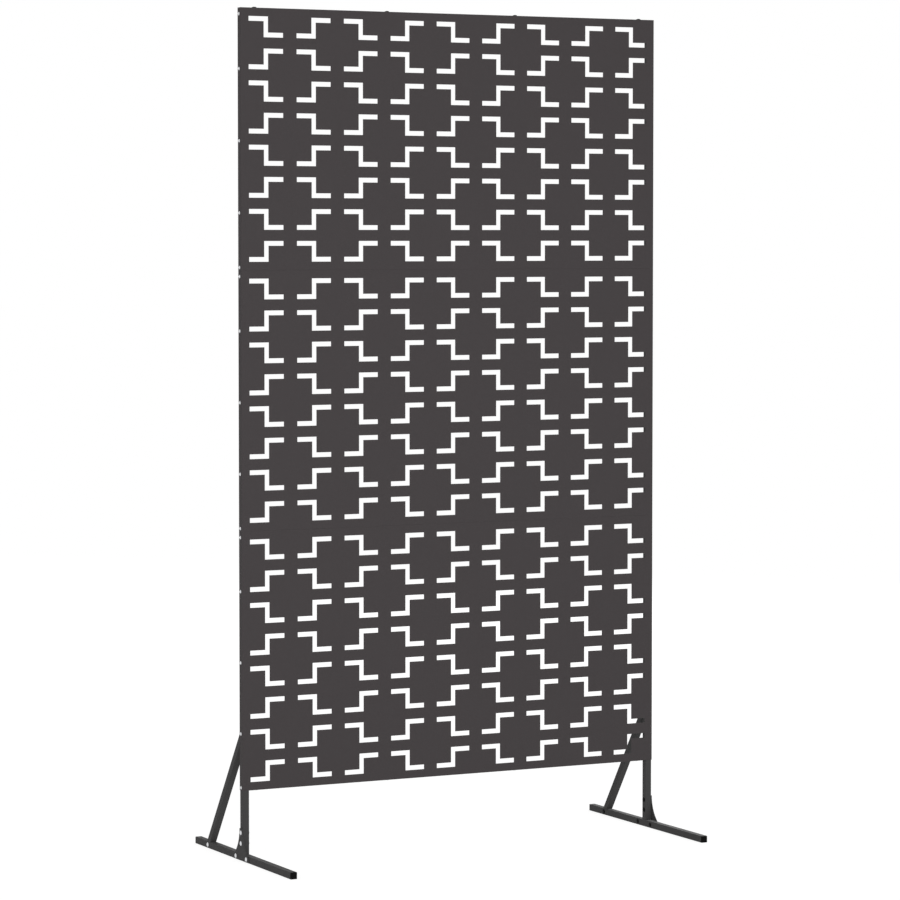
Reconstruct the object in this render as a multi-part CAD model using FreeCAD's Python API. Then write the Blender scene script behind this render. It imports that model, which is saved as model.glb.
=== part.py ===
import FreeCAD, Part
import math
import os

# Free-standing privacy screen: three folded, slotted sheet panels between two square-tube posts, each post
# on a foot with an outer gusset plate and a sloping rear brace.
# Millimetres. The origin is on the floor under the middle of the screen, +Z is up, +X is to the right seen
# from the front, and the slotted faces look towards -Y.

Vector = FreeCAD.Vector

# Panels
PANEL_WIDTH = 1100.0
PANEL_HEIGHT = 605.0
PANEL_NAMES = ("bottom_panel", "middle_panel", "top_panel")
GROUND_GAP = 165.0
SHEET = 0.8
FOLD_NOTCH_GAP = 0.5

# Z-shaped slots
SLOT_COLUMNS = 9
SLOT_ROWS = 8
SLOT_WIDTH = 87.0
SLOT_HEIGHT = 48.0
SLOT_STROKE = 11.0
SLOT_SIDE_MARGIN = 20.5
SLOT_END_MARGIN = 19.5

# Square tube of the posts, feet and braces
TUBE = 16.0
TUBE_WALL = 1.2
TUBE_CORNER = 0.8

# Joining sleeves inside the posts
SLEEVE_LENGTH = 60.0
SLEEVE_WALL = 1.2
SLEEVE_FIT = 0.2

# Feet and plastic plugs
FOOT_LENGTH = 550.0
FOOT_CAP_HEAD = 3.0
FOOT_CAP_STEM = 12.0
POST_CAP_HEAD = 2.0
POST_CAP_STEM = 6.0
CAP_FIT = 0.1
CAP_EDGE = 0.8

# Gusset plates
GUSSET_SHEET = 2.0
GUSSET_RISE = 60.0
GUSSET_HALF_BASE = 42.0
GUSSET_GROUND_GAP = 1.0
GUSSET_END_HEIGHT = 10.0
GUSSET_FOOT_BOLT_REACH = 30.0
GUSSET_POST_BOLT_FIRST = 25.0
GUSSET_POST_BOLT_STEP = 25.0

# Braces and their welded tongues
BRACE_REACH = 200.0
TONGUE_SHEET = 4.0
TONGUE_WIDTH = 10.0
TONGUE_ROOT = 20.0
TONGUE_FIT = 0.3

# Cup-head bolts with square necks, and low nuts that are closed at their ends
BOLT_NECK = 5.0
BOLT_FIT = 0.15
HEAD_WIDTH = 10.5
HEAD_HEIGHT = 2.2
HEAD_CROWN_SHARE = 0.6
HEAD_SIDES = 8
NUT_ACROSS = 10.0
NUT_HEIGHT = 2.5
NUT_END = 0.6
NUT_SIDES = 6
SCREW_LENGTH = 9.0

# Bolt places
SIDE_TOP_MARGIN = 14.5
SIDE_BOTTOM_MARGIN = 6.5
SIDE_END_STEP = 126.0
EDGE_BOLTS = 4
EDGE_BOLT_MARGIN = 38.5

# One length by which every cut runs past the piece it cuts
OVERRUN = 1.0

# Places that follow from the sizes above
PANEL_FRONT = -(TUBE / 2 + SHEET)
PANEL_REAR = TUBE / 2
SCREEN_TOP = GROUND_GAP + len(PANEL_NAMES) * PANEL_HEIGHT
POST_X = PANEL_WIDTH / 2 - SHEET - TUBE / 2
BORE = TUBE - 2 * TUBE_WALL
FOOT_MID = TUBE / 2
NUT_BORE = NUT_HEIGHT - NUT_END
SIDES = (("left", -1), ("right", 1))
SEAMS = {
    "lower": GROUND_GAP + PANEL_HEIGHT,
    "upper": GROUND_GAP + 2 * PANEL_HEIGHT,
}
LAST_SIDE_BOLT = PANEL_HEIGHT - SIDE_TOP_MARGIN
BRACE_TOP = GROUND_GAP + SIDE_BOTTOM_MARGIN + SIDE_END_STEP


def side_bolt_heights():
    """Heights of one panel's side bolts above its lower edge, the lowest first."""
    second = SIDE_BOTTOM_MARGIN + SIDE_END_STEP
    fourth = LAST_SIDE_BOLT - SIDE_END_STEP
    return [SIDE_BOTTOM_MARGIN, second, (second + fourth) / 2, fourth, LAST_SIDE_BOLT]


def all_side_bolt_heights():
    """Heights above the floor of all the side bolts, with the brace bolt among them."""
    bases = [GROUND_GAP + index * PANEL_HEIGHT for index in range(len(PANEL_NAMES))]
    return [base + height for base in bases for height in side_bolt_heights()]


def edge_bolt_places():
    """X of the bolts along a panel's upper and lower folds, evenly spaced between the outer two."""
    outer = PANEL_WIDTH / 2 - EDGE_BOLT_MARGIN
    step = 2 * outer / (EDGE_BOLTS - 1)
    return [-outer + index * step for index in range(EDGE_BOLTS)]


def face_of(*wires):
    """A flat face from closed wires, where an inner wire is a hole."""
    return Part.makeFace(list(wires), "Part::FaceMakerBullseye")


def closed_polygon(points):
    """A closed wire through the points."""
    return Part.makePolygon(list(points) + [points[0]])


def polygon_ring(sides, across_flats, height):
    """Corners of a regular polygon with a flat square to X, at a height on the Z axis."""
    radius = across_flats / 2 / math.cos(math.pi / sides)
    turns = [2 * math.pi * (index + 1 / 2) / sides for index in range(sides)]
    return [Vector(radius * math.cos(a), radius * math.sin(a), height) for a in turns]


def tube_ring(width, corner, height):
    """Corners of a square tube's outline with flattened corners, at a height on the Z axis."""
    half = width / 2
    inner = half - corner
    points = [(half, -inner), (half, inner), (inner, half), (-inner, half)]
    points += [(-half, inner), (-half, -inner), (-inner, -half), (inner, -half)]
    return [Vector(x, y, height) for x, y in points]


def flat_sided(rings):
    """A solid whose flat faces join rings of as many corners each, the lowest ring first."""
    faces = [Part.Face(closed_polygon(rings[0])), Part.Face(closed_polygon(rings[-1]))]
    for low, high in zip(rings, rings[1:]):
        for index in range(len(low)):
            corners = [low[index - 1], low[index], high[index], high[index - 1]]
            faces.append(Part.Face(closed_polygon(corners)))
    return Part.Solid(Part.Shell(faces))


def tube(width, wall, corner, length):
    """A square tube standing on the Z axis, from height 0 to its length."""
    outline = closed_polygon(tube_ring(width, corner, 0))
    bore = closed_polygon(polygon_ring(4, width - 2 * wall, 0))
    return face_of(outline, bore).extrude(Vector(0, 0, length))


def placed(shape, place, direction):
    """A copy of a shape made along +Z, with its origin at a place and its Z along a direction."""
    copy = shape.copy()
    copy.Placement = FreeCAD.Placement(place, FreeCAD.Rotation(Vector(0, 0, 1), direction))
    return copy


def centred_box(width, depth, low, high):
    """A box about the Z axis between two heights."""
    return Part.makeBox(width, depth, high - low, Vector(-width / 2, -depth / 2, low))


def bolt(place, direction, length):
    """A bolt whose head seats at a place and looks along a direction: a low crown over a square neck."""
    seat = polygon_ring(HEAD_SIDES, HEAD_WIDTH, 0)
    crown = polygon_ring(HEAD_SIDES, HEAD_WIDTH * HEAD_CROWN_SHARE, HEAD_HEIGHT)
    neck = centred_box(BOLT_NECK, BOLT_NECK, -length, 0)
    return placed(flat_sided([seat, crown]).fuse(neck).removeSplitter(), place, direction)


def bolt_hole(place, direction, depth):
    """A cutter for a neck's square hole, running past the place by the overrun and inwards by a depth."""
    width = BOLT_NECK + 2 * BOLT_FIT
    return placed(centred_box(width, width, -depth, OVERRUN), place, direction)


def nut(place, direction):
    """A low nut that seats at a place and stands out along a direction, with a closed outer end."""
    outline = closed_polygon(polygon_ring(NUT_SIDES, NUT_ACROSS, 0))
    body = face_of(outline).extrude(Vector(0, 0, NUT_HEIGHT))
    width = BOLT_NECK + 2 * BOLT_FIT
    return placed(body.cut(centred_box(width, width, -OVERRUN, NUT_BORE)), place, direction)


def plug(head, stem):
    """A plastic tube plug: its head's seat is at height 0, its stem goes down into the bore."""
    rings = [
        tube_ring(TUBE, TUBE_CORNER, 0),
        tube_ring(TUBE, TUBE_CORNER, head - CAP_EDGE),
        tube_ring(TUBE - 2 * CAP_EDGE, TUBE_CORNER, head),
    ]
    width = BORE - 2 * CAP_FIT
    return flat_sided(rings).fuse(centred_box(width, width, -stem, 0)).removeSplitter()


def fold_profile():
    """The section of a panel between its notches: front sheet with upper and lower folds, in Y and Z."""
    inside = PANEL_FRONT + SHEET
    under = PANEL_HEIGHT - SHEET
    points = [(PANEL_FRONT, 0), (PANEL_REAR, 0), (PANEL_REAR, SHEET), (inside, SHEET)]
    points += [(inside, under), (PANEL_REAR, under), (PANEL_REAR, PANEL_HEIGHT), (PANEL_FRONT, PANEL_HEIGHT)]
    return closed_polygon([Vector(0, y, z) for y, z in points])


def side_fold_profile(side, notch):
    """The section of a panel outside its notches: front sheet with one side fold, in X and Y."""
    edge = PANEL_WIDTH / 2
    inside = PANEL_FRONT + SHEET
    points = [(notch, PANEL_FRONT), (edge, PANEL_FRONT), (edge, PANEL_REAR)]
    points += [(edge - SHEET, PANEL_REAR), (edge - SHEET, inside), (notch, inside)]
    return closed_polygon([Vector(side * x, y, 0) for x, y in points])


def slot(x, z, turn):
    """A cutter for one Z slot centred at a place: the upper arm points to the left for turn 1."""
    arm = turn * SLOT_WIDTH / 2
    stem = turn * SLOT_STROKE / 2
    top = SLOT_HEIGHT / 2
    shelf = top - SLOT_STROKE
    outline = [(-arm, top), (stem, top), (stem, -shelf), (arm, -shelf)]
    outline += [(arm, -top), (-stem, -top), (-stem, shelf), (-arm, shelf)]
    start = PANEL_FRONT - OVERRUN
    wire = closed_polygon([Vector(x + dx, start, z + dz) for dx, dz in outline])
    return face_of(wire).extrude(Vector(0, SHEET + 2 * OVERRUN, 0))


def slots():
    """All the slots of one panel, every other one mirrored, like the squares of a chess board."""
    column_step = (PANEL_WIDTH - 2 * SLOT_SIDE_MARGIN - SLOT_WIDTH) / (SLOT_COLUMNS - 1)
    row_step = (PANEL_HEIGHT - 2 * SLOT_END_MARGIN - SLOT_HEIGHT) / (SLOT_ROWS - 1)
    first_x = -PANEL_WIDTH / 2 + SLOT_SIDE_MARGIN + SLOT_WIDTH / 2
    first_z = PANEL_HEIGHT - SLOT_END_MARGIN - SLOT_HEIGHT / 2
    cutters = []
    for row in range(SLOT_ROWS):
        for column in range(SLOT_COLUMNS):
            turn = 1 if (row + column) % 2 == 0 else -1
            cutters.append(slot(first_x + column * column_step, first_z - row * row_step, turn))
    return cutters


def panel_bolt_holes():
    """Cutters for the bolt holes in the four folds of one panel."""
    depth = SHEET + OVERRUN
    cutters = []
    for name, side in SIDES:
        for height in side_bolt_heights():
            cutters.append(bolt_hole(Vector(side * PANEL_WIDTH / 2, 0, height), Vector(side, 0, 0), depth))
    for x in edge_bolt_places():
        cutters.append(bolt_hole(Vector(x, 0, 0), Vector(0, 0, -1), depth))
        cutters.append(bolt_hole(Vector(x, 0, PANEL_HEIGHT), Vector(0, 0, 1), depth))
    return cutters


def panel():
    """One folded tray with its lower edge at height 0, notched at the corners for the posts."""
    notch = POST_X - TUBE / 2 - FOLD_NOTCH_GAP
    middle = face_of(fold_profile()).extrude(Vector(2 * notch, 0, 0))
    middle.translate(Vector(-notch, 0, 0))
    folds = [
        face_of(side_fold_profile(side, notch)).extrude(Vector(0, 0, PANEL_HEIGHT))
        for name, side in SIDES
    ]
    tray = middle.fuse(folds).removeSplitter()
    return tray.cut(slots() + panel_bolt_holes())


def tongue(place, direction, fit):
    """A flat tongue square to X: its end goes round a place and it runs back along a direction."""
    half = TONGUE_WIDTH / 2 + fit
    thickness = TONGUE_SHEET + 2 * fit
    reach = brace_length() / 2
    flat = half * math.tan(math.pi / 8)
    points = [(-half, reach), (-half, -flat), (-flat, -half), (flat, -half), (half, -flat), (half, reach)]
    outline = closed_polygon([Vector(-thickness / 2, y, z) for y, z in points])
    shape = face_of(outline).extrude(Vector(thickness, 0, 0))
    turn = math.atan2(direction.y, direction.z)
    shape.Placement = FreeCAD.Placement(
        place, FreeCAD.Rotation(Vector(1, 0, 0), -math.degrees(turn))
    )
    return shape


def brace_ends(x):
    """The bolt places at the foot and the post ends of a brace."""
    return Vector(x, BRACE_REACH, FOOT_MID), Vector(x, 0, BRACE_TOP)


def brace_length():
    """The distance between the two bolts of a brace."""
    low, high = brace_ends(0)
    return (high - low).Length


def brace(x):
    """A sloping tube, mitred to the foot's top and the post's rear, with a welded tongue in each end."""
    low, high = brace_ends(x)
    along = (high - low).normalize()
    length = brace_length()
    turn = FreeCAD.Rotation(Vector(1, 0, 0), -math.degrees(math.atan2(along.y, along.z)))
    run = tube(TUBE, TUBE_WALL, TUBE_CORNER, length)
    run.Placement = FreeCAD.Placement(low, turn)
    below = Part.makeBox(2 * TUBE, 2 * length, 2 * length, Vector(x - TUBE, -length, TUBE - 2 * length))
    ahead = Part.makeBox(2 * TUBE, 2 * length, 2 * length, Vector(x - TUBE, TUBE / 2 - 2 * length, 0))
    run = run.cut([below, ahead])
    pieces = []
    mitre = TUBE / math.tan(math.atan2(BRACE_REACH, BRACE_TOP - FOOT_MID))
    for place, direction in ((low, along), (high, along * -1)):
        strip = tongue(place, direction, 0)
        root_start = mitre + TUBE
        root_end = root_start + TONGUE_ROOT
        root = centred_box(TONGUE_SHEET, BORE, root_start, root_end)
        root.Placement = strip.Placement
        past = centred_box(2 * TUBE, 2 * TUBE, root_end, length)
        past.Placement = strip.Placement
        hole = bolt_hole(place + Vector(TUBE / 2, 0, 0), Vector(1, 0, 0), TUBE)
        pieces.append(strip.cut(past).fuse(root).cut(hole))
    return run.fuse(pieces).removeSplitter()


def gusset_places():
    """Y and Z of the four bolts of a gusset: two in the foot, two in the post."""
    first = TUBE + GUSSET_POST_BOLT_FIRST
    return [
        (-GUSSET_FOOT_BOLT_REACH, FOOT_MID),
        (GUSSET_FOOT_BOLT_REACH, FOOT_MID),
        (0, first),
        (0, first + GUSSET_POST_BOLT_STEP),
    ]


def gusset(side):
    """A plate as wide as the post at its top, whose hollowed flanks sweep out along the foot."""
    face = side * (POST_X + TUBE / 2)
    top = TUBE + GUSSET_RISE
    end = GUSSET_GROUND_GAP + GUSSET_END_HEIGHT
    out = GUSSET_HALF_BASE - TUBE / 2
    drop = top - end
    radius = (out ** 2 + drop ** 2) / (2 * out)
    half_sweep = math.asin(drop / radius) / 2
    mid_out = TUBE / 2 + radius * (1 - math.cos(half_sweep))
    mid_height = top - radius * math.sin(half_sweep)

    def point(y, z):
        return Vector(face, y, z)

    edges = [Part.LineSegment(point(-TUBE / 2, top), point(TUBE / 2, top))]
    for hand in (-1, 1):
        tip = point(hand * GUSSET_HALF_BASE, end)
        corner = point(hand * GUSSET_HALF_BASE, GUSSET_GROUND_GAP)
        edges.append(Part.Arc(point(hand * TUBE / 2, top), point(hand * mid_out, mid_height), tip))
        edges.append(Part.LineSegment(tip, corner))
    edges.append(
        Part.LineSegment(
            point(-GUSSET_HALF_BASE, GUSSET_GROUND_GAP), point(GUSSET_HALF_BASE, GUSSET_GROUND_GAP)
        )
    )
    outline = Part.Wire(Part.__sortEdges__([edge.toShape() for edge in edges]))
    plate = face_of(outline).extrude(Vector(side * GUSSET_SHEET, 0, 0))
    outer = face + side * GUSSET_SHEET
    depth = GUSSET_SHEET + OVERRUN
    holes = [bolt_hole(Vector(outer, y, z), Vector(side, 0, 0), depth) for y, z in gusset_places()]
    return plate.cut(holes)


def post_sections(side):
    """The three tubes of one post by name, drilled for its bolts and slotted for the brace's tongue."""
    x = side * POST_X
    outer = side * (POST_X + TUBE / 2)
    outward = Vector(side, 0, 0)
    low, high = brace_ends(x)
    cutters = []
    for height in all_side_bolt_heights():
        cutters.append(bolt_hole(Vector(outer, 0, height), outward, TUBE / 2))
    through = [BRACE_TOP] + [z for y, z in gusset_places() if y == 0]
    for height in through:
        cutters.append(bolt_hole(Vector(outer, 0, height), outward, TUBE + OVERRUN))
    cutters.append(tongue(high, low - high, TONGUE_FIT))
    stops = [TUBE, SEAMS["lower"], SEAMS["upper"], SCREEN_TOP - POST_CAP_HEAD]
    sections = {}
    for name, start, stop in zip(("lower", "middle", "upper"), stops, stops[1:]):
        section = placed(tube(TUBE, TUBE_WALL, TUBE_CORNER, stop - start), Vector(x, 0, start), Vector(0, 0, 1))
        sections[name] = section.cut(cutters)
    return sections


def sleeve(side, seam):
    """A tube inside a post joint, pierced by the side screws on either side of the seam."""
    x = side * POST_X
    outer = side * (POST_X + TUBE / 2)
    body = tube(BORE - 2 * SLEEVE_FIT, SLEEVE_WALL, 0, SLEEVE_LENGTH)
    body = placed(body, Vector(x, 0, seam - SLEEVE_LENGTH / 2), Vector(0, 0, 1))
    places = [Vector(outer, 0, seam + SIDE_BOTTOM_MARGIN), Vector(outer, 0, seam - SIDE_TOP_MARGIN)]
    return body.cut([bolt_hole(place, Vector(side, 0, 0), TUBE / 2) for place in places])


def foot(side):
    """A tube lying front to back, drilled for the gusset and brace bolts and slotted for the tongue."""
    x = side * POST_X
    outer = side * (POST_X + TUBE / 2)
    half = FOOT_LENGTH / 2 - FOOT_CAP_HEAD
    low, high = brace_ends(x)
    run = placed(tube(TUBE, TUBE_WALL, TUBE_CORNER, 2 * half), Vector(x, -half, FOOT_MID), Vector(0, 1, 0))
    places = [y for y, z in gusset_places() if z == FOOT_MID] + [BRACE_REACH]
    cutters = [
        bolt_hole(Vector(outer, y, FOOT_MID), Vector(side, 0, 0), TUBE + OVERRUN) for y in places
    ]
    cutters.append(tongue(low, high - low, TONGUE_FIT))
    return run.cut(cutters)


def screws_of(side):
    """The screws down one side of the screen: all the side bolts but the long one of the brace."""
    heights = [z for z in all_side_bolt_heights() if z != BRACE_TOP]
    seat = side * PANEL_WIDTH / 2
    return [bolt(Vector(seat, 0, z), Vector(side, 0, 0), SCREW_LENGTH) for z in heights]


def gusset_bolts(side):
    """The bolts of one gusset, through plate and tube."""
    seat = side * (POST_X + TUBE / 2 + GUSSET_SHEET)
    length = GUSSET_SHEET + TUBE + NUT_BORE
    return [bolt(Vector(seat, y, z), Vector(side, 0, 0), length) for y, z in gusset_places()]


def gusset_nuts(side):
    """The nuts of one gusset, on the inner side of post and foot."""
    seat = side * (POST_X - TUBE / 2)
    return [nut(Vector(seat, y, z), Vector(-side, 0, 0)) for y, z in gusset_places()]


def brace_bolts(side):
    """The two bolts of one brace: through foot and tongue, and through side fold, post and tongue."""
    tube_seat = side * (POST_X + TUBE / 2)
    low = Vector(tube_seat, BRACE_REACH, FOOT_MID)
    high = Vector(tube_seat + side * SHEET, 0, BRACE_TOP)
    length = TUBE + NUT_BORE
    return [bolt(low, Vector(side, 0, 0), length), bolt(high, Vector(side, 0, 0), length + SHEET)]


def brace_nuts(side):
    """The two nuts of one brace, on the inner side of foot and post."""
    seat = side * (POST_X - TUBE / 2)
    places = [Vector(seat, BRACE_REACH, FOOT_MID), Vector(seat, 0, BRACE_TOP)]
    return [nut(place, Vector(-side, 0, 0)) for place in places]


def fold_bolts(under, thickness):
    """A row of bolts put through folds from below, their heads under a height."""
    length = thickness + NUT_BORE
    return [bolt(Vector(x, 0, under), Vector(0, 0, -1), length) for x in edge_bolt_places()]


def fold_nuts(top):
    """A row of nuts that stand on folds at a height."""
    return [nut(Vector(x, 0, top), Vector(0, 0, 1)) for x in edge_bolt_places()]


def panels():
    """The three panels by name, from the lowest up."""
    tray = panel()
    nodes = {}
    for index, name in enumerate(PANEL_NAMES):
        nodes[name] = tray.translated(Vector(0, 0, GROUND_GAP + index * PANEL_HEIGHT))
    return nodes


def fold_fasteners():
    """Bolts and nuts along the folds: the bottom edge, the two seams and the top edge."""
    rows = {"bottom_edge": (GROUND_GAP, SHEET), "top_edge": (SCREEN_TOP - SHEET, SHEET)}
    for name, seam in SEAMS.items():
        rows[f"{name}_seam"] = (seam - SHEET, 2 * SHEET)
    nodes = {}
    for name, (under, thickness) in rows.items():
        nodes[f"{name}_bolts"] = fold_bolts(under, thickness)
        nodes[f"{name}_nuts"] = fold_nuts(under + thickness)
    return nodes


def side_frame(name, side):
    """One post with its foot, brace, gusset, plugs and fasteners."""
    x = side * POST_X
    nodes = {f"{name}_{section}_post": solid for section, solid in post_sections(side).items()}
    for seam_name, seam in SEAMS.items():
        nodes[f"{name}_{seam_name}_sleeve"] = sleeve(side, seam)
    nodes[f"{name}_foot"] = foot(side)
    nodes[f"{name}_brace"] = brace(x)
    nodes[f"{name}_gusset"] = gusset(side)
    post_plug = plug(POST_CAP_HEAD, POST_CAP_STEM)
    top = Vector(x, 0, SCREEN_TOP - POST_CAP_HEAD)
    nodes[f"{name}_post_cap"] = placed(post_plug, top, Vector(0, 0, 1))
    foot_plug = plug(FOOT_CAP_HEAD, FOOT_CAP_STEM)
    for end, way in (("front", -1), ("rear", 1)):
        seat = Vector(x, way * (FOOT_LENGTH / 2 - FOOT_CAP_HEAD), FOOT_MID)
        nodes[f"{name}_foot_{end}_cap"] = placed(foot_plug, seat, Vector(0, way, 0))
    nodes[f"{name}_panel_screws"] = screws_of(side)
    nodes[f"{name}_gusset_bolts"] = gusset_bolts(side)
    nodes[f"{name}_gusset_nuts"] = gusset_nuts(side)
    nodes[f"{name}_brace_bolts"] = brace_bolts(side)
    nodes[f"{name}_brace_nuts"] = brace_nuts(side)
    return nodes


def screen():
    """Every piece of the screen by name, where a list is a group of like fasteners."""
    nodes = panels()
    for name, side in SIDES:
        nodes.update(side_frame(name, side))
    nodes.update(fold_fasteners())
    return nodes


os.makedirs("parts", exist_ok=True)
for node, shape in screen().items():
    if isinstance(shape, list):
        shape = Part.makeCompound(shape)
    shape.exportStep(f"parts/{node}.step")
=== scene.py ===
"""Looks of a free-standing privacy screen: folded sheet panels with Z slots on square-tube legs.

Metres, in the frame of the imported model: +Z is up and the slotted faces look towards -Y.
"""
import logging
import math
from dataclasses import dataclass, replace
from enum import Enum

import bpy
import numpy as np
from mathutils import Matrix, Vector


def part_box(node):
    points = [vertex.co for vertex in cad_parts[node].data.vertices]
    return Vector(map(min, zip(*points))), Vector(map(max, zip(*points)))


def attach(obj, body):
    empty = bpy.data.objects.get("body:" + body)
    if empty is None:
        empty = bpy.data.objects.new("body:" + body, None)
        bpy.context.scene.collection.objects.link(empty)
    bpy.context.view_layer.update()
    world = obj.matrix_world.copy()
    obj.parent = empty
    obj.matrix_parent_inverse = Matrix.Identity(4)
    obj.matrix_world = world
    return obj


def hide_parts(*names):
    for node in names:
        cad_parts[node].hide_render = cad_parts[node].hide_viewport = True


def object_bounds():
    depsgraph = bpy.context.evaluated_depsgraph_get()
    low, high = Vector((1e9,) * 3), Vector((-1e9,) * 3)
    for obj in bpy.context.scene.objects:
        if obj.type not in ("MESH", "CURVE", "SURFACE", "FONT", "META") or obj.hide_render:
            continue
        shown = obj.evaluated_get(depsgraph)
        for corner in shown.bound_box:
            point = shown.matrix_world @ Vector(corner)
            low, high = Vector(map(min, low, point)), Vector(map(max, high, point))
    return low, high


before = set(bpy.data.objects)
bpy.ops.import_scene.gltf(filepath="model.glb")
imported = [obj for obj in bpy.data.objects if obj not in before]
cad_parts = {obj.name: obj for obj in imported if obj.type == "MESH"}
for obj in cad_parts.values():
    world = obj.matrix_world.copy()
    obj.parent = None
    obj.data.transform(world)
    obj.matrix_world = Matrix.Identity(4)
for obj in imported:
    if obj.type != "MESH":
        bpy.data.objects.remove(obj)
CAD_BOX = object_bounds()

Array = np.ndarray
Socket = bpy.types.NodeSocket
Inputs = dict[str | int, object]
Triple = tuple[float, float, float]
LOG = logging.getLogger("privacy_screen")
MM = 0.001
X_AXIS, Y_AXIS, Z_AXIS = np.eye(3)
# Nothing on the screen moves, so every piece rides on one body.
BODY = "root"
# The panels, in the order that they are stacked.
PANEL_LEVELS = ("bottom", "middle", "top")
# Radius of a plain bolt head, which the bolts' boxes are read with too.
HEAD_RADIUS = 5.25 * MM
# Brightness that shows as white.
WHITE = 1.0
# Middle of a noise or cell texture's values.
TEXTURE_MIDDLE = 0.5


class Side(Enum):
    """The two ends of the screen, each with its sign along X."""

    LEFT = -1
    RIGHT = 1

    @property
    def word(self) -> str:
        """The name that the frame's nodes start with."""
        return self.name.lower()

    @property
    def outward(self) -> Array:
        """The unit direction away from the middle of the screen."""
        return self.value * X_AXIS


class Slot(Enum):
    """Material slots that the finishes stand for."""

    STEEL = "powder_coated_steel"
    ZINC = "zinc_fasteners"
    NUTS = "black_nuts"
    PLASTIC = "black_plastic"


class Drive(Enum):
    """What a fastener's head shows from outside."""

    PLAIN_DOME = "plain dome"
    CROSS_RECESS = "cross recess"


def node_box(node: str) -> Array:
    """Lowest and highest corner of a node of the frame, one row each."""
    return np.array(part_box(node))


def placed(name: str, data: bpy.types.ID) -> bpy.types.Object:
    """A new object of the scene.

    Args:
        name: Its name.
        data: The mesh, lamp or camera that it shows.

    Returns:
        The object, at the origin.
    """
    thing = bpy.data.objects.new(name, data)
    bpy.context.scene.collection.objects.link(thing)
    return thing


@dataclass
class Surface:
    """A mesh in the making.

    Attributes:
        points: X, Y and Z of each point, one row per point.
        faces: Point numbers, one row per face, in one array for each face size.
    """

    points: Array
    faces: list[Array]

    def copies(self, places: Array, axis: Array) -> "Surface":
        """Copies of a surface that was made about +Z.

        Every point is turned so that +Z becomes the axis, then added to each place in turn.

        Args:
            places: One row of X, Y and Z per copy.
            axis: Unit direction that +Z turns to.

        Returns:
            One surface that holds all the copies.
        """
        turned = self.points @ basis_along(axis).T
        points = (turned[None] + places[:, None]).reshape(-1, 3)
        starts = np.arange(len(places)) * len(self.points)
        faces = [(rows[None] + starts[:, None, None]).reshape(-1, rows.shape[1]) for rows in self.faces]
        return Surface(points, faces)

    def welded(self, reach: float = 1e-7) -> "Surface":
        """The same surface with points that lie together made one, and unused points dropped.

        Args:
            reach: Points that round to the same multiples of this length are one.

        Returns:
            The welded surface.
        """
        used = np.unique(np.concatenate([rows.ravel() for rows in self.faces]))
        keys = np.round(self.points[used] / reach).astype(np.int64)
        _, first, group = np.unique(keys, axis=0, return_index=True, return_inverse=True)
        number = np.zeros(len(self.points), np.int64)
        number[used] = group.ravel()
        return Surface(self.points[used[first]], [number[rows] for rows in self.faces])


def basis_along(axis: Array) -> Array:
    """Three unit directions, right-handed, the third along an axis.

    The first is X crossed with the axis, or Z crossed with it where the axis runs along X.

    Args:
        axis: The third direction, of any length.

    Returns:
        The directions as columns.
    """
    axis = axis / np.linalg.norm(axis)
    helper = Z_AXIS if np.allclose(abs(axis), X_AXIS) else X_AXIS
    first = np.cross(helper, axis)
    first = first / np.linalg.norm(first)
    return np.stack([first, np.cross(axis, first), axis], axis=1)


def joined(parts: list[Surface]) -> Surface:
    """One surface from several: their points in a row, their point numbers counted on.

    Args:
        parts: The surfaces.

    Returns:
        The surface of them all.
    """
    starts = np.cumsum([0] + [len(part.points) for part in parts[:-1]])
    faces = [rows + start for part, start in zip(parts, starts) for rows in part.faces]
    return Surface(np.concatenate([part.points for part in parts]), faces)


def grid_cells(number: Array) -> Array:
    """The four corners of each cell of a grid of point numbers, along its row first."""
    return np.stack([number[:-1, :-1], number[:-1, 1:], number[1:, 1:], number[1:, :-1]], axis=-1)


def skin(rings: Array, loop: bool = False, first_pole: Array | None = None,
         last_pole: Array | None = None) -> Surface:
    """A surface through closed rings that run anticlockwise about the way they are stacked.

    Each point joins its neighbours in its own ring and the like point of the next ring.

    Args:
        rings: Points in rings, by columns, by X, Y and Z.
        loop: Whether the last ring joins the first one, as the walls of a hollow tube do.
        first_pole: Point that closes the first ring with a fan, if any.
        last_pole: Point that closes the last ring with a fan, if any.

    Returns:
        The surface, whose faces point outwards.
    """
    rows, columns = rings.shape[:2]
    number = np.arange(rows * columns).reshape(rows, columns)
    number = np.pad(number, ((0, int(loop)), (0, 1)), mode="wrap")
    faces = [grid_cells(number).reshape(-1, 4)]
    points = [rings.reshape(-1, 3)]
    for pole, ring, way in ((first_pole, 0, -1), (last_pole, rows - 1, 1)):
        if pole is not None:
            tip = np.full(columns, sum(len(part) for part in points))
            faces.append(np.stack([tip, number[ring, :-1], number[ring, 1:]], axis=-1)[:, ::way])
            points.append(pole[None])
    return Surface(np.concatenate(points), faces)


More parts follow.
